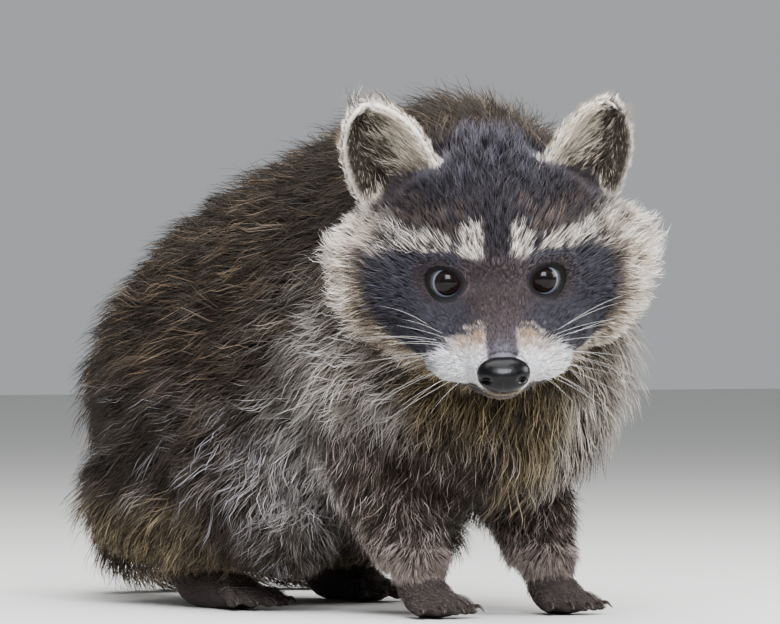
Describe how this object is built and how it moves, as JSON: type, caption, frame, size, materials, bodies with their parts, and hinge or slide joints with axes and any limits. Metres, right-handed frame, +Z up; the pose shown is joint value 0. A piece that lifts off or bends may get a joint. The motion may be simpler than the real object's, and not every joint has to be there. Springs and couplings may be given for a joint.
{
  "type": "raccoon figure",
  "caption": "Young raccoon standing hunched on all fours, head turned to its right, broad ruffed face, short pointed muzzle, upright ears and tail laid on the ground.",
  "frame": {"origin": "centre of the footprint of the whole figure's box, on the floor that the soles rest on", "axes": "+Z up; the trunk runs along Y with the chest towards -Y and the tail towards +Y; the animal's left side is towards +X"},
  "size_m": [0.2078, 0.3816, 0.1992],
  "materials": {
    "grizzled_coat": "long loose fur, dark with pale tips",
    "head_coat": "short dense fur with a dark mask",
    "ear_coat": "short pale velvet fur",
    "paw_skin": "dry bare skin with very short hair",
    "eye_gloss": "wet and glossy",
    "nose_leather": "moist, pebbled, dark"
  },
  "bodies": {
    "root": {"head": "head_coat", "neck": "grizzled_coat", "trunk": "grizzled_coat", "ear_left": "ear_coat", "ear_right": "ear_coat", "eye_left": "eye_gloss", "eye_right": "eye_gloss", "nose": "nose_leather", "foreleg_left": "grizzled_coat", "foreleg_right": "grizzled_coat", "forepaw_left": "paw_skin", "forepaw_right": "paw_skin", "hindleg_left": "grizzled_coat", "hindleg_right": "grizzled_coat", "hindpaw_left": "paw_skin", "hindpaw_right": "paw_skin", "tail_root": "grizzled_coat", "tail_bend": "grizzled_coat", "tail_end": "grizzled_coat"}
  },
  "joints": []
}
